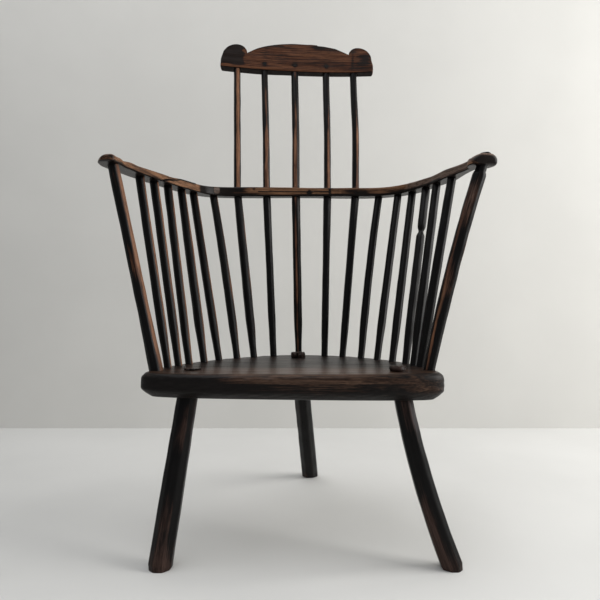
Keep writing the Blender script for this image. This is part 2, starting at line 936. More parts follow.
@dataclass(frozen=True)
class CombPlan:
    """The comb's size, lean and curve."""

    height: float = 991.5
    half: float = 182.0
    thick: float = 20.0
    sag: float = 11.5
    crown: float = 75.5
    slant: float = 4.0
    ear_r: float = 36.0
    ear_in: tuple[float, float] = (23.5, 19.0)
    ear_h: tuple[float, float] = (63.7, 67.0)
    notch_h: tuple[float, float] = (42.5, 48.0)
    lean: float = 13.0
    tilt: float = 2.7

    @property
    def radius(self) -> float:
        """Radius of the comb's curve in plan."""
        return (self.half**2 + self.sag**2) / (2 * self.sag)

    @property
    def ears(self) -> tuple[float, float]:
        """Where the left and the right ear stand."""
        return self.ear_r - self.half, self.half - self.ear_r - self.slant

    def place(self, x: np.ndarray, y: np.ndarray, z: np.ndarray, arm: ArmPlan) -> np.ndarray:
        """Points from the comb's own frame to the chair's: curved, tilted, then leant back.

        Args:
            x: Along the comb.
            y: Through it, from its middle.
            z: Up its face.
            arm: The arm that it stands over.

        Returns:
            Points with a last axis of 3.
        """
        y = y + np.sqrt(self.radius**2 - x**2) - self.radius
        tilt, lean = np.radians(self.tilt), np.radians(self.lean)
        across = x * np.cos(tilt) + z * np.sin(tilt)
        up = -x * np.sin(tilt) + z * np.cos(tilt)
        base = arm.y + (self.height - arm.height) * np.tan(lean)
        return np.stack([across, base + y * np.cos(lean) + up * np.sin(lean),
                         self.height - y * np.sin(lean) + up * np.cos(lean)], -1)

    def outline(self, x: np.ndarray) -> np.ndarray:
        """Height of the comb at x: an arch with a circle's curve each way, between two round ears.

        An ear is a wide circle on its outer side and a tight one on its inner side, tangent at its top.

        Args:
            x: Places along the comb.

        Returns:
            Heights.
        """
        ear_left, ear_right = self.ears
        right = (x > 0).astype(int)
        notch = np.array([-ear_left - self.ear_in[0], ear_right - self.ear_in[1]])[right]
        rise = self.crown - np.array(self.notch_h)[right]
        arch_r = (notch**2 + rise**2) / (2 * rise)
        arch = self.crown - arch_r + np.sqrt(np.maximum(arch_r**2 - x**2, 0))
        off = np.where(x < 0, ear_left - x, x - ear_right)
        r = np.where(off > 0, self.ear_r, np.array(self.ear_in)[right])
        ear = np.array(self.ear_h)[right] - r + np.sqrt(np.maximum(r**2 - off**2, 0))
        inside = off > -np.array(self.ear_in)[right]
        return np.where(inside, np.maximum(ear, np.where(off > 0, 0, arch)), arch)


SEAT = SeatPlan()
ARM = ArmPlan()
COMB = CombPlan()


# Sub-assemblies.


@dataclass(frozen=True)
class Crack:
    """A check along the seat's front: its place below the top, its path's reach, its depth and its ends."""

    below: float
    reach: float
    deep: float
    start: float
    end: float


@dataclass
class SeatPlank:
    """The seat: a thick half-round plank with a worn upper edge and a bevel below."""

    round_r: float = 14.0
    bevel_w: float = 18.0
    bevel_h: float = 15.0
    bevel_curve: float = 1.4
    rim_w: float = 34.0
    columns: int = 560
    spokes: int = 44
    hub: tuple[float, float] = (0.0, -160.0)
    front_y: float = -245.0
    crack_sway: float = 2.4
    crack_fade: float = 30.0
    ridge: float = 0.3
    hollow: float = 0.9
    rough: Wave = Wave(0.4, 60, 35, 30)
    edge_wave: Wave = Wave(0.55, 7, 160, 30)
    edge_nicks: Wave = Wave(0.35, 9, 40, 14)
    top_wave: Wave = Wave(0.35, 12, 300, 26)
    plain_tone: float = 0.30
    sat_tone: float = 0.36
    top_tone: float = 0.12
    under_shade: float = 0.3
    corner_shade: float = 0.35
    middle_wear: Dab = Dab(60, 120, 20, 9, 0.22)
    right_wear: Dab = Dab(215, 40, 26, 10, 0.25)
    cracks: tuple[Crack, ...] = (
        Crack(8.0, 120, 1.1, -215, 240), Crack(13.0, 90, 1.5, -60, 190), Crack(16.5, 70, 1.0, -120, 130),
        Crack(20.0, 110, 0.7, 20, 235), Crack(11.0, 60, 0.8, 60, 235), Crack(26.0, 130, 0.5, -200, 150))

    def profile(self) -> tuple[np.ndarray, np.ndarray]:
        """Insets and depths down the edge, from the flat top round to the underside.

        Returns:
            Insets from the rim and depths as shares of the plank's thickness.
        """
        flat = np.linspace(self.rim_w, self.round_r + 1.5, 10)
        a = np.linspace(0, np.pi / 2, 14)
        face = np.linspace(self.round_r, SEAT.thick - self.bevel_h, 16)[1:-1]
        slope = self.bevel_w * np.linspace(0, 1, 14)[1:] ** self.bevel_curve
        bevel = np.linspace(SEAT.thick - self.bevel_h, SEAT.thick, 14)[1:]
        inset = np.concatenate([flat, self.round_r * (1 - np.sin(a)), np.zeros(len(face)), slope])
        depth = np.concatenate([np.zeros(len(flat)), self.round_r * (1 - np.cos(a)), face, bevel])
        return inset, depth / SEAT.thick

    def crack_depth(self, x: np.ndarray, below: np.ndarray) -> np.ndarray:
        """Depth of the checks and ridges along the front: grooves exp(-((below - path(x)) / w)^2).

        Args:
            x: Across the seat.
            below: Depth below the upper face.

        Returns:
            Depth in millimetres.
        """
        depth = np.zeros_like(x)
        for k, crack in enumerate(self.cracks):
            path = crack.below + self.crack_sway * ripple(x, 0 * x, 40 + k, crack.reach, 1.0)
            fade = ease((x - crack.start) / self.crack_fade) * ease((crack.end - x) / self.crack_fade)
            rough = 1 - self.rough.height + self.rough.at(x, below, k)
            depth += crack.deep * fade * bump(below, path, 1.0 + 0.5 * (k % 2)) * rough
        return np.maximum(depth, -self.ridge)

    def plan(self) -> tuple[np.ndarray, np.ndarray]:
        """Rings in plan, from the hub out over the edge and back under to the hub.

        Returns:
            Points (x, y), (m, n, 2), and depths as shares of the plank's thickness, (m, n).
        """
        fine = np.linspace(0, 360, 7201)[:-1]
        rim = SEAT.outline(fine, 0.0, 0.0)
        step = np.linalg.norm(np.roll(rim, -1, 0) - rim, axis=1)
        length = np.concatenate([[0], np.cumsum(step)])
        even = np.interp(np.linspace(0, length[-1], self.columns + 1)[:-1], length, np.append(fine, 360))
        inset, depth = self.profile()
        edge = np.stack([SEAT.outline(even, i, i) for i in inset])
        grow = np.linspace(0.03, 0.985, self.spokes)[:, None, None]
        hub = np.array(self.hub)
        top = hub + (edge[:1] - hub) * grow
        under = hub + (edge[-1:] - hub) * grow[::-1]
        share = np.concatenate([np.zeros(self.spokes), depth, np.ones(self.spokes)])
        return np.concatenate([top, edge, under]), np.repeat(share[:, None], self.columns, 1)

    def tones(self, at: np.ndarray, below: np.ndarray, share: np.ndarray, front: np.ndarray) -> np.ndarray:
        """How rubbed the seat is: most where it is sat on, and least at its left front and underneath.

        Args:
            at: Points (x, y).
            below: Depths below the upper face.
            share: The same depths as shares of the thickness.
            front: 1 along the front, 0 elsewhere.

        Returns:
            Tones.
        """
        x, y = at[..., 0], at[..., 1]
        tone = np.full(x.shape, self.plain_tone)
        tone += self.sat_tone * bump(x, 0, 190) * (share < 0.35) * ease((-150 - y) / 60)
        tone += self.top_tone * (share < 0.02)
        tone += daub((self.middle_wear,), x, below)[0] * front
        tone += daub((self.right_wear,), x, below)[0]
        tone -= self.corner_shade * bump(x, -190, 70) * front * ease(share / 0.2)
        return tone - self.under_shade * (share > 0.97)

    def build(self) -> bpy.types.Object:
        """The rings of the plan, set at their depths, then dented, cracked and dished by wear.

        Returns:
            The seat's skin.
        """
        plan, share = self.plan()
        x, y = plan[..., 0], plan[..., 1]
        z = SEAT.height - share * SEAT.depth(x)
        below = SEAT.height - z
        spoke = plan - np.array(self.hub)
        out = unit(spoke)
        front = ease((self.front_y - y) / 12)
        on_edge = ease(share / 0.06) * ease((0.97 - share) / 0.1)
        dent = self.crack_depth(x, below) * front + self.edge_wave.at(x, below) + self.ridge
        dent = (dent + self.edge_nicks.at(x + y, below)) * on_edge
        x, y = x - out[..., 0] * dent, y - out[..., 1] * dent
        flat = (share < 0.02) * ease(np.linalg.norm(spoke, axis=-1) / 30)
        hollow = self.hollow * bump(x, 10, 140) * bump(y, -130, 90)
        z = z - flat * (self.top_wave.height + self.top_wave.at(x, y) + hollow)
        tone = self.tones(np.stack([x, y], -1), below, share, front)
        return lay_skin("seat_plank", np.stack([x, y, z], -1), np.stack([y, z, x], -1), tone, crease=60)


@dataclass(kw_only=True)
class Limb:
    """What the legs and posts share: an eight-sided limb, bowed at its middle."""

    name: str
    foot: np.ndarray
    head: np.ndarray
    seed: int
    bow: float = 0.0
    sides: int = 8
    points: int = 72
    wear: tuple[Dab, ...] = ()

    @property
    def node(self) -> str:
        """The node that the limb stands for."""
        return self.name.replace("limb_", "")

    @property
    def length(self) -> float:
        """Distance from foot to head."""
        return float(np.linalg.norm(self.head - self.foot))

    def line(self, u: np.ndarray) -> np.ndarray:
        """foot + (head - foot) u + bow 4u(1 - u) along X."""
        straight = self.foot + (self.head - self.foot) * u[:, None]
        return straight + X_AXIS * (self.bow * 4 * u * (1 - u))[:, None]

    def skin(self, rings: np.ndarray, radius: np.ndarray, h: np.ndarray, tone: np.ndarray,
             warmth: np.ndarray) -> bpy.types.Object:
        """The limb's skin, with its grain along it.

        Args:
            rings: Its points, (m, n, 3).
            radius: Its radii, (m, n).
            h: Lengths along it, (m, n).
            tone: How rubbed each point is.
            warmth: How warm its colour is.

        Returns:
            The limb.
        """
        grain = round_grain(radius, round_angles(self.points), h + self.seed * 700)
        return lay_skin(self.name, rings, grain, tone, warmth, crease=50)


@dataclass(kw_only=True)
class Leg(Limb):
    """A leg, cut level at the floor, with its round tenon standing rough above the seat."""

    proud: float
    slim: float = 0.0
    flare: float = 1.5
    top_w: float = 34.0
    foot_w: float = 39.0
    tenon_d: float = 26.0
    slack: float = 0.4
    sunk: float = 0.75
    tall: float = 5.0
    closing: float = 0.45
    keen: float = 0.85
    foot_round: float = 0.09
    shaving: Wave = Wave(0.35, 0, ROUND, 0.22)
    lumps: Wave = Wave(1.5, 5, ROUND, 18)
    cap: Wave = Wave(0.5, 9, 14, 14)
    stain: Wave = Wave(0.18, 20, 4.0, 260)
    plain_tone: float = 0.22
    arris_tone: float = 0.12
    foot_tone: float = 0.22
    stub_tone: float = 0.5

    def shaft(self, u: np.ndarray, theta: np.ndarray) -> np.ndarray:
        """Radii of the eight flats, which taper upwards and are a little rounded off at the floor.

        Args:
            u: Shares of the length, (m, 1).
            theta: Angles, (1, n).

        Returns:
            Radii, (m, n).
        """
        width = self.foot_w + (self.top_w - self.foot_w) * u - self.slim
        radius = width / 2 * facets(theta, self.sides, 0.0, self.keen)
        radius += self.shaving.at(theta * 2, u, self.seed)
        return radius * (1 - self.foot_round * (1 - ease(u * self.length / 6)))

    def stub(self, u: np.ndarray, theta: np.ndarray) -> np.ndarray:
        """Radii of the tenon, which swells over the seat, and closes again where it stands high.

        Args:
            u: Shares of the length, (m, 1).
            theta: Angles, (1, n).

        Returns:
            Radii, (m, n).
        """
        above = (u - 1) * self.head[2]
        lump = self.lumps.at(theta * 1.3, above, self.seed)
        close = 1 - self.closing * ease((above + 3 - self.proud) / 7) * (self.proud > self.tall)
        wide = self.tenon_d / 2 - self.slack + (lump + self.flare) * ease((above + 1.5) / 2)
        return wide * close**0.5

    def build(self) -> bpy.types.Object:
        """Eight flats to the seat, then a lumpy round stub.

        Returns:
            The leg's skin.
        """
        theta = round_angles(self.points)[None, :]
        seat_u = 1 - SEAT.thick * self.sunk / self.length
        body = np.linspace(0, seat_u, 120)
        rise = np.linspace(seat_u + 0.002, 1 + (self.proud + 1.5) / self.head[2], 30)
        u = np.concatenate([body, rise])[:, None]
        is_stub = u > seat_u
        radius = np.where(is_stub, self.stub(u, theta), self.shaft(u, theta))
        rings = tube(self.line(u[:, 0]), radius, theta[0])
        rings[0, :, 2] = 0.0
        rings[..., 2] = np.maximum(rings[..., 2], 0.0)
        cap = self.head[2] + self.proud + self.cap.at(rings[..., 0], rings[..., 1], self.seed)
        rings[..., 2] = np.minimum(rings[..., 2], cap)

        h = u * self.length + 0 * radius
        arris = np.abs(((theta + np.pi / 8) % (np.pi / 4)) - np.pi / 8) / (np.pi / 8)
        tone = np.full(radius.shape, self.plain_tone) + self.arris_tone * arris**4
        tone += self.stain.at(theta, h, self.seed)
        tone += self.foot_tone * bump(h, 0, 30)
        more, cool = daub(self.wear, h, theta)
        return self.skin(rings, radius, h, np.where(is_stub, self.stub_tone, tone + more), 0.8 + cool)


@dataclass(kw_only=True)
class Post(Limb):
    """A front post under a hand."""

    top_z: float
    foot_w: float = 23.0
    mid_w: float = 19.5
    mid_u: float = 0.35
    head_w: float = 18.5
    tenon_d: float = 16.0
    neck: float = 0.0
    keen: float = 0.8
    chamfer: float = 0.1
    shaving: Wave = Wave(0.3, 0, ROUND, 0.2)
    lumps: Wave = Wave(0.25, 3, ROUND, 0.03)
    stain: Wave = Wave(0.13, 20, 5, 190)
    plain_tone: float = 0.14
    warmth: float = 1.0

    def build(self) -> bpy.types.Object:
        """Eight flats from the seat to the arm, then the round tenon through the hand.

        Returns:
            The post's skin.
        """
        theta = round_angles(self.points)[None, :]
        over = (self.top_z - self.foot[2]) / (self.head[2] - self.foot[2])
        shoulder = 1 - self.neck / self.length
        u = np.concatenate([np.linspace(-0.02, shoulder, 150), np.linspace(shoulder + 0.0008, over, 24)])
        low = self.foot_w + (self.mid_w - self.foot_w) * ease(u / self.mid_u)
        high = self.mid_w + (self.head_w - self.mid_w) * ease((u - self.mid_u) / (1 - self.mid_u))
        width = np.where(u < self.mid_u, low, high)
        radius = width[:, None] / 2 * facets(theta, self.sides, 0.0, self.keen)
        radius += self.shaving.at(theta * 1.5, u[:, None], self.seed)
        chamfer = 1 - self.chamfer * ease((u - shoulder + 0.012) / 0.012) * (self.neck > 0)
        tenon = self.tenon_d / 2 + self.lumps.at(theta, u[:, None], self.seed)
        radius = np.where((u > shoulder)[:, None], tenon, radius * chamfer[:, None])
        rings = tube(self.line(u), radius, theta[0])
        rings[..., 2] = np.minimum(rings[..., 2], self.top_z)

        h = (u * self.length)[:, None] + 0 * radius
        facing = (theta + np.pi) % (2 * np.pi) - np.pi
        more, cool = daub(self.wear, h, facing)
        tone = self.plain_tone + self.stain.at(theta, h, self.seed) + more
        return self.skin(rings, radius, h, tone, self.warmth + cool)


@dataclass
class Stick:
    """A shaved stick from the seat up into the arm, or through the arm and up into the comb.

    Its marks are an angle on the seat's outline, a length along the arm and a place along the comb.
    Names in d are diameters, and waist is the height of a whittled neck, or 0.
    """

    node: str
    seat_mark: float
    arm_mark: float
    side: Side
    comb_mark: float | None = None
    shave: float = 0.0
    bow: float = 0.0
    sway: float = 0.0
    waist: float = 0.0
    seed: int = 0
    rub: float = 0.0
    rub_at: float = -0.2
    rub_w: float = 0.45
    rub_low: float = 0.25
    high_rub: float = 0.7
    high_at: float = -1.5
    high_w: float = 0.6
    fade: float = 0.6
    middle_d: float = 17.0
    foot_d: float = 14.0
    head_d: float = 13.0
    through_d: float = 17.0
    collar: float = 9.0
    swell: float = 75.0
    proud: float = 0.8
    rooted: float = 12.0
    clear: float = 0.3
    shoulder: float = 0.8
    points: int = 48
    keen: float = 0.75
    even: float = 1.027
    shaving: Wave = Wave(0.22, 0, ROUND, 90)
    stain: Wave = Wave(0.13, 50, 5, 150)
    plain_tone: float = 0.08
    neck_at: tuple[float, ...] = (-12, -9, -6, -3, -1, 2, 5, 8, 12, 16, 24)
    neck_r: tuple[float, ...] = (1.0, 0.98, 0.91, 0.77, 0.64, 0.575, 0.66, 0.83, 0.93, 0.975, 1.0)

    @property
    def long(self) -> bool:
        """Whether it goes on up to the comb."""
        return self.comb_mark is not None

    def waist_cut(self, h: np.ndarray, r: np.ndarray) -> np.ndarray:
        """Narrows the radius round a neck: a shoulder below it and a longer taper above.

        Args:
            h: Lengths along the stick.
            r: Radii.

        Returns:
            The radii with the neck cut in, where there is one.
        """
        if not self.waist:
            return r
        return r * np.interp(h - self.waist, self.neck_at, self.neck_r)

    def comb_foot(self) -> np.ndarray:
        """Where a long stick meets the comb's underside."""
        return COMB.place(np.array(self.comb_mark), np.array(0.0), np.array(0.0), ARM)

    def bend_points(self) -> tuple[np.ndarray, np.ndarray]:
        """Where the stick goes into the arm and where it comes out, on the half-way direction of its parts.

        Returns:
            The point on the arm's underside, and the one on its upper face.
        """
        thick = float(ARM.thick(np.array(self.arm_mark)))
        if not self.long:
            low = ARM.mark(self.arm_mark)
            run = unit(low - SEAT.hole(self.seat_mark, self.side))
            return low, low + run * (thick + self.proud) / run[2]
        middle = ARM.mark(self.arm_mark, thick / 2)
        turn = unit(unit(middle - SEAT.hole(self.seat_mark, self.side)) + unit(self.comb_foot() - middle))
        half = turn * thick / 2 / turn[2]
        return middle - half, middle + half

    def course(self) -> tuple[np.ndarray, np.ndarray, np.ndarray, tuple[float, float]]:
        """The stick's middle line with its round radii: seat to arm, through the arm, then to the comb.

        Below the arm the diameter is mix(mix(foot, middle), top) over the height, and the line bends by
        bow 4u(1 - u) along X. Above the arm it sways by a bell.

        Returns:
            Points of the line, radii, lengths along it from the seat's upper face, and the two lengths
            between which it is in the arm.
        """
        foot = SEAT.hole(self.seat_mark, self.side)
        low, high = self.bend_points()
        first, run, through = float(np.linalg.norm(low - foot)), unit(low - foot), high - low
        leaves = first + float(np.linalg.norm(through))
        middle = self.middle_d + self.shave
        top = self.through_d + self.shoulder if self.long else self.middle_d
        h = np.linspace(-self.rooted, first - self.clear, 150)
        body = self.foot_d + (middle - self.foot_d) * ease((h - self.collar) / self.swell)
        body = body + (top - body) * ease((h / (first + self.rooted) - 0.55) / 0.4)
        u = np.clip(h / first, 0, 1)
        lines = [foot + run * h[:, None] + X_AXIS * (self.bow * 4 * u * (1 - u))[:, None]]
        g = np.linspace(0, 1, 8)
        lines.append(low + through * g[:, None])
        pass_d = self.through_d if self.long else self.head_d
        radii = [self.waist_cut(h, body / 2), np.full(len(g), pass_d / 2)]
        lengths = [h, first + g * np.linalg.norm(through)]
        if self.long:
            rest = self.comb_foot() - high
            second = float(np.linalg.norm(rest))
            g = np.linspace(3, second + 26, 130)
            sway = self.sway * bump(g, second * 0.45, second * 0.33)
            lines.append(high + unit(rest) * g[:, None] + X_AXIS * sway[:, None])
            radii.append((self.through_d - 1 - 0.2 * g / second) / 2)
            lengths.append(leaves + g)
        return np.concatenate(lines), np.concatenate(radii), np.concatenate(lengths), (first, leaves)

    def build(self) -> bpy.types.Object:
        """Rings along the course, round in the arm and on flats shaved by hand elsewhere.

        Returns:
            The stick's skin.
        """
        line, radius, h, (first, leaves) = self.course()
        open_air = ~((h > first - self.clear) & (h < leaves + 1))
        theta = round_angles(self.points)
        turn = np.random.default_rng(self.seed + 100).uniform(0, 0.8)
        keen = self.keen * ease((h - self.collar) / 30) * open_air
        ring = 1 + (facets(theta[None, :], 8, turn, 1.0) - self.even) * keen[:, None]
        wave = self.shaving.at(theta[None, :] * 1.2, h[:, None], self.seed)
        skin_r = radius[:, None] * ring + wave * open_air[:, None]
        rings = tube(line, skin_r, theta)
        if not self.long:
            top = self.bend_points()[1][2]
            rings[-1, :, 2] = top
            rings[-2:, :, 2] = np.minimum(rings[-2:, :, 2], top)

        grain = round_grain(skin_r, theta, h[:, None] + self.seed * 900)
        tone = self.tones(theta[None, :], h[:, None], first) + 0 * skin_r
        return lay_skin(self.node.replace("stick", "rod"), rings, grain, tone, crease=45)

    def tones(self, theta: np.ndarray, h: np.ndarray, first: float) -> np.ndarray:
        """How rubbed the stick is: a band facing rub_at below the arm, and one facing high_at above.

        Args:
            theta: Angles round it, 0 to the right and negative to the front.
            h: Heights along it.
            first: Height of the arm.

        Returns:
            Tones.
        """
        def band(at: float, width: float) -> np.ndarray:
            """Bell round the stick, wrapped."""
            gap = (theta - at + np.pi) % (2 * np.pi) - np.pi
            return np.exp(-((gap / width) ** 2))

        lower = 1 - self.rub_low + self.rub_low * ease((first - h) / 120)
        below = self.plain_tone + self.rub * band(self.rub_at, self.rub_w) * lower
        far = ease((h - first - 100) / 160)
        facing = band(self.high_at + 0.5 * self.fade * far, self.high_w)
        above = self.plain_tone + self.high_rub * facing * (1 - self.fade * far)
        mixed = below + (above - below) * ease((h - first) / 8)
        return mixed + self.stain.at(theta, h, self.seed)


@dataclass(frozen=True)
class Run:
    """Stations of the arm that keep the heights from low to high, where each may be a joint's face."""

    s: np.ndarray
    low: np.ndarray | float = -1.0
    high: np.ndarray | float = 99.0
    joint_low: np.ndarray | bool = False
    joint_high: np.ndarray | bool = False


@dataclass
class ArmBow:
    """The arm in its three lengths: left hand, back and right hand."""

    upper_r: float = 4.2
    lower_r: float = 3.2
    joint_r: float = 0.4
    tip_r: tuple[float, float] = (10.0, 4.0)
    tip_under: float = 0.15
    tip_over: float = 0.4
    tip_side: float = 0.8
    sink: float = 0.4
    gap: float = 0.35
    lead: float = 14.0
    spare: float = 0.97
    wander: Wave = Wave(0.35, 70, 70, 40)
    stain: Wave = Wave(0.12, 81, 160, 60)
    plain_tone: float = 0.63
    joint_tone: float = -0.3
    lower_shade: float = 0.9
    under_shade: float = 0.6
    outer_shade: float = 0.1
    right_tone: float = 0.06
    grey_from: float = 262.0
    grey: float = 0.75
    slant: float = 0.5
    strip: float = 1.4
    swells: tuple[tuple[float, float, float], ...] = (
        (1.4, 442, 42), (-1.7, -352, 30), (1.6, -497, 16), (-1.6, -527, 9))
    hand_form: tuple[tuple[float, float], ...] = ((0.3, 0.3), (1.15, 0.8), (0.45, 0.45), (0.1, 0.15))
    knob_form: tuple[tuple[float, float], ...] = ((0.14, 0.25), (0.62, 0.68), (1.0, 0.76), (0.08, 0.09))
    wear: tuple[Dab, ...] = (
        Dab(-574, 7, 0.65, 0.4, -0.22), Dab(-553, 12, 0.8, 0.45, 0.55), Dab(-538, 9, 0.08, 0.2, -0.35),
        Dab(-470, 70, 0.5, 1.0, -0.1), Dab(-400, 22, 0.9, 0.3, -0.1), Dab(-300, 46, 0.55, 0.9, 0.28),
        Dab(-233, 16, 0.5, 1.1, -0.75), Dab(-212, 10, 0.5, 1.1, -0.6), Dab(-160, 32, 0.6, 1.1, -0.75),
        Dab(-128, 18, 0.8, 0.5, -0.3), Dab(-190, 7, 0.6, 0.45, 1.1, -2.2), Dab(-150, 26, 0.36, 0.12, 0.5),
        Dab(-98, 4, 0.75, 0.15, -0.6), Dab(-45, 70, 0.6, 0.6, 0.36), Dab(28, 5, 0.5, 0.3, -0.5),
        Dab(75, 2, 0.5, 0.6, -0.5), Dab(125, 40, 0.5, 0.6, -0.2), Dab(218, 30, 0.4, 0.5, -0.02),
        Dab(330, 60, 0.1, 0.2, -0.3), Dab(562, 6, 0.5, 0.3, -0.45), Dab(556, 18, 0.12, 0.14, -0.22, 0.9),
        Dab(536, 16, 0.7, 0.7, 0.25, 0.3))

    def corners(self, s: np.ndarray, wide: np.ndarray, thick: np.ndarray) -> tuple[np.ndarray, ...]:
        """Widths, heights and exponents of the corners' rounding along the arm.

        Args:
            s: Stations along the line.
            wide: Mean half width at each.
            thick: Thickness at each.

        Returns:
            Widths, heights and exponents, each (m, 4), anticlockwise from the outer lower corner.
        """
        part = ARM.hand_share(s)[:, None]
        plain = np.array([self.lower_r, self.upper_r, self.upper_r, self.lower_r])[None, :]
        form = np.where((s < 0)[:, None, None], np.array(self.hand_form), np.array(self.knob_form))
        cut = plain + (form[..., 0] * wide[:, None] - plain) * part
        rise = plain + (form[..., 1] * thick[:, None] - plain) * part
        rise[:, 0] = np.minimum(rise[:, 0], self.spare * thick - rise[:, 1])
        slope = 1 + 0.3 * part * (s > 0)[:, None] * np.array([0, 0, 1, 0])
        return cut, rise, slope

    def crest(self, s: np.ndarray) -> np.ndarray:
        """How much the upper face stands over its even height: the sum of its swells, each a bell."""
        return sum(rise * bump(s, at, reach) for rise, at, reach in self.swells)

    def sections(self, run: Run) -> tuple[np.ndarray, np.ndarray, np.ndarray]:
        """Rounded sections square to the middle line, cut between two heights.

        Args:
            run: The stations, with all its other values as arrays.

        Returns:
            Ring points, and (v, z) of each: its place out from the middle line and over the underside.
        """
        s = run.s
        p, heading = ARM.line(s)
        full, thick = ARM.fullness(s), ARM.thick(s)
        r = np.where(s < 0, *self.tip_r)
        near = np.clip(np.where(s < 0, s + ARM.end_left, ARM.end_right - s), 0, r)
        tip = r - np.sqrt(np.maximum(r**2 - (r - near) ** 2, 0))
        z0 = thick * (1 - full) * self.sink + self.tip_under * tip
        z1 = thick * (1 - full) * self.sink + thick * full - self.tip_over * tip + self.crest(s)
        inner, outer = ARM.half_width(s, Form.INNER), ARM.half_width(s, Form.OUTER)
        out = np.where(s > 0, ARM.knob_out * ARM.hand_share(s), 0)
        v0 = out - inner + self.tip_side * tip
        v1 = np.maximum(out + outer - np.where(s > 0, self.tip_side * tip, 0), v0 + 3)
        cut, rise, slope = self.corners(s, (v1 - v0) / 2, z1 - z0)
        low, high = np.maximum(z0, run.low), np.minimum(z1, run.high)
        left = (high - low)[:, None]
        cut, rise = np.minimum(cut, (v1 - v0)[:, None] * 0.75), np.minimum(rise, left * 0.85)
        for one, other in ((0, 1), (2, 3)):
            both = (rise[:, one] + rise[:, other])[:, None]
            rise[:, [one, other]] *= np.minimum(1, self.spare * left / both)
        for joint, pair in ((run.joint_low, [0, 3]), (run.joint_high, [1, 2])):
            for part in (cut, rise):
                part[:, pair] = np.where(joint[:, None], self.joint_r, part[:, pair])
        box = rounded_box(v0, v1, low, high, cut, rise, slope, arc=9, wide=9, tall=6)
        v, z = box[..., 0], box[..., 1]
        wander = self.wander.at(s[:, None], v * 0.4 + z)
        v = v + wander * np.sign(v - out[:, None]) * ~run.joint_low[:, None]
        nx, ny = np.sin(heading)[:, None], np.cos(heading)[:, None]
        rings = np.stack([p[:, None, 0] + nx * v, p[:, None, 1] + ny * v, ARM.height + z], -1)
        return rings, v, z

    def piece(self, name: str, *runs: Run) -> bpy.types.Object:
        """One length of the arm as a skin, rubbed brown on its inner face and dark in its joints.

        Args:
            name: The piece's name.
            runs: Its stations in order.

        Returns:
            The piece.
        """
        columns = {}
        for key in ("s", "low", "high", "joint_low", "joint_high"):
            columns[key] = np.concatenate([np.broadcast_to(getattr(run, key), run.s.shape) for run in runs])
        run = Run(**columns)
        rings, v, z = self.sections(run)
        along, share = run.s[:, None], z / ARM.thick(run.s)[:, None]
        more, cool = daub(self.wear, along, share)
        tone = self.plain_tone + self.stain.at(along, z * 3 + v) + more
        middle = ease((along + 250) / 60) * ease((440 - along) / 60)
        tone = tone - self.lower_shade * bump(share, 0.0, 0.2) * middle
        tone = tone + self.right_tone * ease((along - 260) / 60)
        tone = tone - self.under_shade * (z < 1.6) - self.outer_shade * (v > 4)
        shade = run.joint_low[:, None] & (z < run.low[:, None] + 0.7)
        shade = shade | (run.joint_high[:, None] & (z > run.high[:, None] - 0.7))
        tone = np.where(shade, self.joint_tone, tone)
        warmth = np.clip(1.0 - self.grey * ease((along - self.grey_from) / 40) + cool, 0, 1)
        return lay_skin(name, rings, np.stack([v, z, along + 0 * v], -1), tone, warmth, crease=50)

    def stations(self, a: float, b: float, step: float = 2.0) -> np.ndarray:
        """Stations from a to b, closer together round a hand's tip.

        Args:
            a: First station.
            b: Last station.
            step: Distance between plain stations.

        Returns:
            The stations in order.
        """
        s = np.arange(a, b, step)
        if a < -ARM.post_left:
            tip = a + 3 * (1 - np.cos(np.linspace(0, np.pi / 2, 10)))
            s = np.concatenate([tip, np.arange(a + 4, a + 50, 1.0), s[s > a + 51]])
        if b > ARM.post_right:
            turn = np.sin(np.linspace(0, np.pi / 2, 26))
            start = ARM.post_right - ARM.knob_back
            s = np.concatenate([s[s < start - 1], ARM.post_right - ARM.knob_back * turn[::-1],
                                ARM.post_right + ARM.knob_front * turn[1:]])
        else:
            s = np.append(s, b)
        return s

    def climb(self, t: np.ndarray) -> np.ndarray:
        """Height of the scarf's face above the underside: a feather, a slant, then under a thin strip.

        Args:
            t: Stations.

        Returns:
            Heights.
        """
        slant = np.clip((t - ARM.scarf_mark) / ARM.scarf_len / self.slant, 0, 1)
        nib = ARM.scarf_nib * np.clip(1 + (t - ARM.scarf_mark) / (self.lead + 1), 0.1, 1)
        return nib + (ARM.thick(t) + self.crest(t) - self.strip - ARM.scarf_nib) * slant

    def left(self) -> bpy.types.Object:
        """The left hand, over the scarf: its underside climbs from the nib's start to a thin tip.

        Returns:
            The piece.
        """
        start, end = ARM.scarf_mark, ARM.scarf_mark + ARM.scarf_len
        hand = self.stations(-ARM.end_left, start - self.lead - 0.5)
        scarf = np.linspace(start - self.lead, end, 70)
        low = self.climb(scarf) + self.gap + 2.2 * bump(scarf, start + 8, 20)
        return self.piece("arm_hand_left", Run(hand), Run(scarf, low=low, joint_low=True))

    def back(self) -> bpy.types.Object:
        """The back: under the scarf at its left, under the halved joint at its right.

        Returns:
            The piece.
        """
        start, end = ARM.scarf_mark, ARM.scarf_mark + ARM.scarf_len
        scarf = np.linspace(start - self.lead + 1, end, 70)
        middle = self.stations(end + 0.4, -ARM.lap_left)
        lap = self.stations(-ARM.lap_left + 0.05, ARM.lap_right)
        under = Run(scarf, high=self.climb(scarf), joint_high=True)
        halved = Run(lap, high=ARM.t_back / 2, joint_high=True)
        return self.piece("arm_rail_back", under, Run(middle), halved)

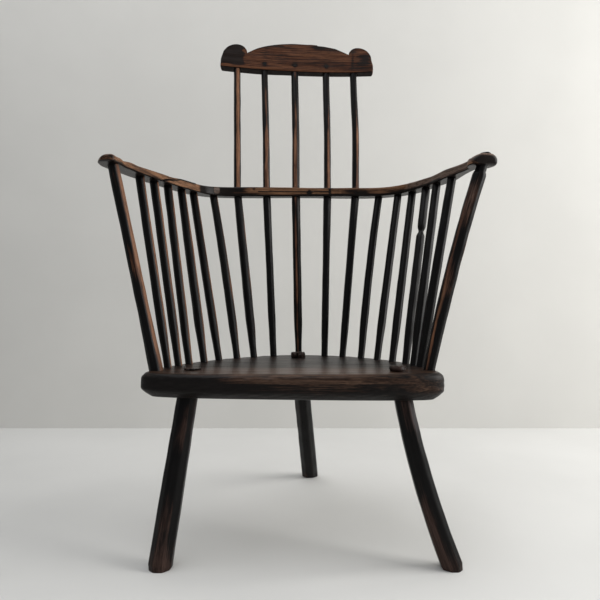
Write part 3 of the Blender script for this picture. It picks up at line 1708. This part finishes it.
    def right(self) -> bpy.types.Object:
        """The right half: over the halved joint, then the side and the knob.

        Returns:
            The piece.
        """
        lap = self.stations(-ARM.lap_left + self.gap, ARM.lap_right)
        rest = self.stations(ARM.lap_right + self.gap, ARM.end_right)
        over = Run(lap, low=ARM.t_back / 2 + self.gap, joint_low=True)
        return self.piece("arm_hand_right", over, Run(rest))


@dataclass
class CombBoard:
    """The comb: a curved board with a low arch between two round ears."""

    edge_r: float = 1.8
    back_swell: float = 3.0
    flank_out: float = 2.4
    flank_in: float = 2.8
    top_wave: Wave = Wave(0.25, 15, 50, 1)
    face_wave: Wave = Wave(0.25, 18, 90, 30)
    stain: Wave = Wave(0.1, 19, 200, 22)
    fray: Wave = Wave(5.0, 33, 40, 30)
    plain_tone: float = 0.60
    left_shade: float = 0.6
    right_shade: float = 0.06
    under_shade: float = 0.5
    low_tone: float = 0.12
    top_shade: float = 0.2
    crest_at: tuple[float, ...] = (-120, -97, -87, -67, -38, 0, 21, 33, 45.5, 46.5, 60, 90, 100, 112, 121)
    crest: tuple[float, ...] = (1, 3.2, 3.4, 2.7, 1.6, 0.6, 0.9, 2.2, 2.9, 0.9, 2.2, 4.3, 3.2, 2, 0.8)
    wear: tuple[Dab, ...] = (
        Dab(50, 14, 67, 4.5, -0.5), Dab(-168, 12, 8, 3, 0.35), Dab(150, 14, 58, 8, 0.1),
        Dab(160, 10, 42, 4, -0.6), Dab(163, 11, 33, 3, -0.55), Dab(158, 13, 23, 4, -0.5),
        Dab(133, 3, 30, 16, -0.2), Dab(-79, 5, 16, 5, -0.5), Dab(-5.5, 5, 16, 5, -0.5),
        Dab(70, 5, 16, 5, -0.5))

    def stations(self) -> np.ndarray:
        """Places along the comb, closer together round the ears.

        Returns:
            The places in order.
        """
        ear_left, ear_right = COMB.ears
        r, (in_left, in_right) = COMB.ear_r - 0.02, COMB.ear_in
        turn = np.linspace(0, np.pi / 2, 40)
        return np.concatenate([ear_left - r * np.cos(turn), ear_left + in_left * np.sin(turn[1:]),
                               np.linspace(ear_left + in_left, ear_right - in_right, 150)[1:-1],
                               ear_right - in_right * np.cos(turn), ear_right + r * np.sin(turn[1:])])

    def build(self) -> bpy.types.Object:
        """Sections up the board at stations along it, from the outline function.

        Returns:
            The comb's skin.
        """
        w, x = COMB.half, self.stations()
        top = COMB.outline(x)
        arch = (x > COMB.ears[0] + COMB.ear_in[0]) & (x < COMB.ears[1] - COMB.ear_in[1])
        top = top + np.interp(x, self.crest_at, self.crest) * arch + self.top_wave.at(x, 0 * x)
        half = COMB.thick / 2 / np.cos(np.arcsin(x / COMB.radius))
        end = np.minimum(x + w, w - COMB.slant - x)
        ends = 1 - 0.35 * (1 - ease(end / 3.5)) ** 2
        cut = np.full((len(x), 4), self.edge_r) * np.array([1.3, 1, 1, 1.3])
        back = half + self.back_swell * ease((-20 - x) / 80)
        box = rounded_box(-half * ends, back * ends, 4 * (1 - ends), top, cut, cut, arc=6, wide=8, tall=26)
        y, z = box[..., 0], box[..., 1]
        along = x[:, None] + 0 * y
        tall = COMB.ear_h[1] - COMB.ear_r
        foot, ear = np.clip(1 - z / tall, 0, 1), np.clip((along - COMB.ears[1]) / COMB.ear_r, 0, 1)
        along = along + COMB.slant * foot * ear
        along = along + self.flank_out * bump(z, 17, 13) * ease((along - COMB.ears[1]) / 30)
        along = along - self.flank_in * (1 - ease((z - 18) / 22)) * ease((COMB.ears[0] - along) / 30)
        y = y - self.face_wave.at(along, z) * np.sign(y) * (z > 2)
        rings = COMB.place(along, y, z, ARM)

        more, cool = daub(self.wear, along, z)
        tone = self.plain_tone + self.stain.at(along, z) + more
        left_end = ease((-128 - along + self.fray.at(along, z)) / 12) * ease((z - 5) / 6)
        tone = tone - self.left_shade * left_end - self.right_shade * ease((along - 122) / 10)
        tone = tone + self.low_tone * bump(z, 3, 3) - self.under_shade * (z < 0.8)
        tone = tone - self.top_shade * bump(z, top[:, None], 2.5)
        return lay_skin("comb_board", rings, np.stack([z, y, along], -1), tone, 1.0 + cool, crease=45)


# The studio.


@dataclass(frozen=True)
class Lamp:
    """A soft rectangular lamp. Its place, aim and size are in metres, and its power in watts."""

    name: str
    place: Point
    aim: Point
    size: tuple[float, float]
    power: float
    colour: Colour

    def build(self) -> None:
        """Hangs the lamp at its place, turned to its aim."""
        data = bpy.data.lights.new(self.name, "AREA")
        data.shape = "RECTANGLE"
        data.size, data.size_y = self.size
        data.energy = self.power
        data.color = self.colour
        lamp = bpy.data.objects.new(self.name, data)
        bpy.context.scene.collection.objects.link(lamp)
        lamp.location = self.place
        lamp.rotation_euler = (Vector(self.aim) - Vector(self.place)).to_track_quat("-Z", "Y").to_euler()


@dataclass
class Studio:
    """Floor, wall, light and camera. Lengths are metres."""

    camera_y: float = -1.233
    camera_z: float = 0.442
    lens: float = 35.4
    sensor: float = 36.0
    shift: float = 0.005
    wall_y: float = 0.80
    reach: float = 6.0
    room_colour: Colour = (0.9, 0.93, 0.97)
    room_light: float = 0.32
    floor_paint: PlainFinish = PlainFinish("floor_paint", (0.665, 0.66, 0.64))
    wall_paint: PlainFinish = PlainFinish("wall_paint", (0.65, 0.64, 0.61), one_sided=True)
    lamps: tuple[Lamp, ...] = (
        Lamp("window", (2.6, -0.5, 1.5), (0.0, 0.0, 0.6), (1.8, 2.0), 83.0, (1.0, 0.99, 0.97)),
        Lamp("ceiling", (-0.6, -0.4, 3.0), (0.0, 0.1, 0.4), (2.5, 2.0), 38.0, (0.97, 0.98, 1.0)))

    def plane(self, name: str, corners: list[Point], finish: PlainFinish) -> None:
        """A flat backdrop.

        Args:
            name: Its name.
            corners: Its corners.
            finish: Its paint.
        """
        mesh = bpy.data.meshes.new(name)
        mesh.from_pydata(corners, [], [tuple(range(len(corners)))])
        sheet = bpy.data.objects.new(name, mesh)
        bpy.context.scene.collection.objects.link(sheet)
        mesh.materials.append(finish.build())

    def camera(self) -> bpy.types.Object:
        """A level camera in front of the chair.

        Returns:
            The camera.
        """
        data = bpy.data.cameras.new("camera")
        data.lens = self.lens
        data.sensor_width = self.sensor
        data.shift_x = self.shift
        camera = bpy.data.objects.new("camera", data)
        bpy.context.scene.collection.objects.link(camera)
        camera.location = (0.0, self.camera_y, self.camera_z)
        camera.rotation_euler = (np.pi / 2, 0.0, 0.0)
        return camera

    def build(self) -> None:
        """Sets the stage, the light and the camera."""
        w, y = self.reach, self.wall_y
        self.plane("floor", [(-w, -w, 0), (w, -w, 0), (w, y, 0), (-w, y, 0)], self.floor_paint)
        self.plane("wall", [(-w, y, 0), (w, y, 0), (w, y, w), (-w, y, w)], self.wall_paint)
        for lamp in self.lamps:
            lamp.build()
        world = bpy.data.worlds.new("room")
        world.use_nodes = True
        background = world.node_tree.nodes["Background"]
        background.inputs["Color"].default_value = (*self.room_colour, 1)
        background.inputs["Strength"].default_value = self.room_light
        scene = bpy.context.scene
        scene.world = world
        scene.camera = self.camera()
        scene.view_settings.view_transform = "Standard"


# The chair.


DARK = (0.0050, 0.0046, 0.0046)
ARM_WOOD = WoodFinish(
    "arm_wood_rubbed", (0.009, 0.0065, 0.0055), (0.084, 0.040, 0.022), (0.22, 0.112, 0.060), streak=0.7)
COMB_WOOD = WoodFinish(
    "comb_wood_rubbed", (0.012, 0.0078, 0.0064), (0.062, 0.022, 0.0115), (0.125, 0.052, 0.026),
    gloss=0.05, streak=1.1, line=320.0)
SEAT_WOOD = WoodFinish(
    "seat_wood_waxed", (0.0075, 0.006, 0.0055), (0.040, 0.022, 0.015), (0.085, 0.050, 0.034),
    rough_deep=0.36, rough_rubbed=0.30, gloss=0.10, coat=0.02, relief=0.6, streak=0.9)
LEG_WOOD = WoodFinish(
    "leg_wood_dark", DARK, (0.034, 0.016, 0.011), (0.06, 0.030, 0.020), dull=(0.03, 0.029, 0.031))
STICK_WOOD = WoodFinish(
    "stick_wood_dark", DARK, (0.100, 0.042, 0.024), (0.21, 0.100, 0.055), dull=(0.045, 0.036, 0.033))
PEG_WOOD = EndGrainFinish(
    "peg_end_grain", (0.005, 0.0045, 0.0045), (0.010, 0.007, 0.006), (0.016, 0.01, 0.009))
WEDGE_WOOD = EndGrainFinish(
    "wedge_end_grain", (0.016, 0.010, 0.008), (0.055, 0.029, 0.019), (0.09, 0.05, 0.03))


@dataclass(frozen=True)
class StickRow:
    """One side's sticks from the back's centre forwards: long ones up to the comb, then short ones.

    The marks on the seat, the arm and the comb say where each stick stands. Counted from 0, the stick
    numbered bowed bends by bow, and the one numbered necked has a whittled neck at the height neck.
    """

    side: Side
    seed: int
    seat: tuple[float, ...]
    arm: tuple[float, ...]
    comb: tuple[float, ...]
    shave: tuple[float, ...]
    rub: tuple[float, ...]
    high_rub: tuple[float, ...]
    high_at: tuple[float, ...]
    fade: tuple[float, ...]
    sway: tuple[float, ...]
    bowed: int
    bow: float
    necked: int | None = None
    neck: float = 280.0

    def build(self) -> list[Stick]:
        """The row's sticks.

        Returns:
            The sticks, long ones first.
        """
        word, sign, long = self.side.name.lower(), self.side.value, len(self.comb)
        sticks = []
        for i, (seat, arm, shave, rub) in enumerate(zip(self.seat, self.arm, self.shave, self.rub)):
            node = f"long_stick_{word}_{i + 1}" if i < long else f"short_stick_{word}_{i + 1 - long}"
            stick = Stick(node, seat, sign * arm, self.side, shave=shave, rub=rub, seed=self.seed + i,
                          bow=self.bow if i == self.bowed else 0.0,
                          waist=self.neck if i == self.necked else 0.0)
            if i < long:
                stick.comb_mark, stick.sway = sign * self.comb[i], self.sway[i]
                stick.high_rub, stick.high_at, stick.fade = self.high_rub[i], self.high_at[i], self.fade[i]
            sticks.append(stick)
        return sticks


CENTRE_STICK = Stick("long_stick_centre", 89, -2.5, Side.RIGHT, comb_mark=-5.5, shave=1.5, seed=8, rub=0.5,
                     rub_at=-1.75, high_rub=0.8, high_at=-1.7, fade=0.5, through_d=18.4, sway=1.2)
LEFT_ROW = StickRow(
    Side.LEFT, seed=20,
    seat=(73.5, 63, 54.5, 45.5, 38, 30, 24, 17), arm=(70, 137, 193, 248.5, 291.5, 340.5, 389.5, 440),
    comb=(79, 145), shave=(-0.5, 2, 1, 0, 1.5, -0.5, 0, 0), rub=(0.2, 0.5, 0.75, 0.9, 1.0, 1.0, 1.1, 1.0),
    high_rub=(0.85, 1.0), high_at=(-1.45, -1.25), fade=(0.55, 0.05), sway=(1.0, 0), bowed=2, bow=2.3)
RIGHT_ROW = StickRow(
    Side.RIGHT, seed=60,
    seat=(74.5, 64.5, 54, 44.5, 35, 26, 20, 14.5), arm=(70, 134.5, 188.5, 235, 275.5, 331, 376.5, 439),
    comb=(70, 135.5), shave=(-1.5, -1, 0, 0, 0, 0, 0.5, 0.5), rub=(0, 0, 0, 0, 0, 0, 0.1, 0.1),
    high_rub=(0.65, 0.65), high_at=(-1.2, -1.1), fade=(0.45, 0.5), sway=(1.6, 3.0), bowed=2, bow=-2.7,
    necked=5)


@dataclass
class Chair:
    """The whole chair, built in order."""

    bench: Bench
    post_proud: float = 0.8

    def legs(self) -> list[Leg]:
        """The three legs, with their worn places by height and by angle round them.

        Returns:
            The legs.
        """
        front, top = 3 * np.pi / 2, SEAT.height
        left_wear = (Dab(215, 50, front + 0.2, 0.5, 0.4), Dab(70, 60, front, 0.5, 0.2),
                     Dab(200, 90, 6.0, 0.35, 0.2, -0.8))
        right_wear = (Dab(70, 90, front - 0.7, 0.6, 0.4), Dab(240, 60, front + 0.8, 0.5, 0.35, -0.8))
        return [
            Leg(name="leg_limb_left", foot=np.array([-226.0, -261, 0]), head=np.array([-183.0, -206, top]),
                proud=2.5, flare=3.5, seed=3, wear=left_wear),
            Leg(name="leg_limb_right", foot=np.array([257.0, -261, 0]), head=np.array([173.0, -226, top]),
                bow=-9.5, proud=9.0, slim=4.5, seed=4, wear=right_wear),
            Leg(name="leg_limb_rear", foot=np.array([33.0, 256, 0]), head=np.array([3.0, 17, top]),
                proud=11.0, seed=5)]

    def posts(self) -> list[Post]:
        """The two front posts, with their worn flats by height and by angle round them.

        Returns:
            The posts.
        """
        left_wear = (Dab(150, 300, -0.1, 0.55, 0.72), Dab(150, 300, -0.75, 0.34, 0.52),
                     Dab(180, 300, -1.65, 0.4, 0.22), Dab(330, 50, -1.9, 0.6, 0.14))
        right_wear = (Dab(60, 130, -2.3, 0.4, 0.5, 0.3), Dab(320, 60, -1.9, 1.0, 0.42, -0.35),
                      Dab(240, 60, -2.5, 0.35, 0.3), Dab(230, 90, -0.5, 0.25, 0.35),
                      Dab(200, 200, -1.5, 0.5, 0.1))
        base = ARM.height + self.post_proud
        hand_t = float(ARM.thick(np.array(-ARM.post_left)))
        return [
            Post(name="post_limb_left", foot=SEAT.hole(7, Side.LEFT),
                 head=ARM.mark(-ARM.post_left, out=-ARM.hand_in), top_z=base + hand_t,
                 seed=11, wear=left_wear),
            Post(name="post_limb_right", foot=SEAT.hole(5.5, Side.RIGHT),
                 head=ARM.mark(ARM.post_right, out=ARM.knob_out), top_z=base + ARM.knob_t,
                 bow=-5.0, foot_w=19.5, mid_w=22.5, head_w=22.5, tenon_d=19.0, neck=12.0,
                 seed=12, warmth=0.7, wear=right_wear)]

    def build(self) -> None:
        """Builds, dresses and places every piece."""
        bench = self.bench
        bench.place(SeatPlank().build(), SEAT_WOOD.build(), "seat")
        leg_wood, stick_wood, arm_wood = LEG_WOOD.build(), STICK_WOOD.build(), ARM_WOOD.build()
        for leg in self.legs():
            bench.place(leg.build(), leg_wood, leg.node)
        for limb in (*self.posts(), CENTRE_STICK, *LEFT_ROW.build(), *RIGHT_ROW.build()):
            bench.place(limb.build(), stick_wood, limb.node)
        bow = ArmBow()
        bench.place(bow.left(), arm_wood, "arm_left")
        bench.place(bow.back(), arm_wood, "arm_back")
        bench.place(bow.right(), arm_wood, "arm_right")
        bench.place(CombBoard().build(), COMB_WOOD.build(), "comb")
        peg_wood, wedge_wood = PEG_WOOD.build(), WEDGE_WOOD.build()
        for node in ("comb_peg_left", "comb_peg_centre", "comb_peg_right", "arm_peg"):
            bench.keep(node, peg_wood)
        for node in ("leg_wedge_left", "leg_wedge_right", "leg_wedge_rear"):
            bench.keep(node, wedge_wood)


def main() -> None:
    """Builds the studio and the chair, and reports."""
    logging.basicConfig(level=logging.INFO, format="%(name)s %(message)s")
    Studio().build()
    bench = Bench()
    Chair(bench).build()
    LOG.info("%d pieces", bench.count)


if __name__ == "__main__":
    main()
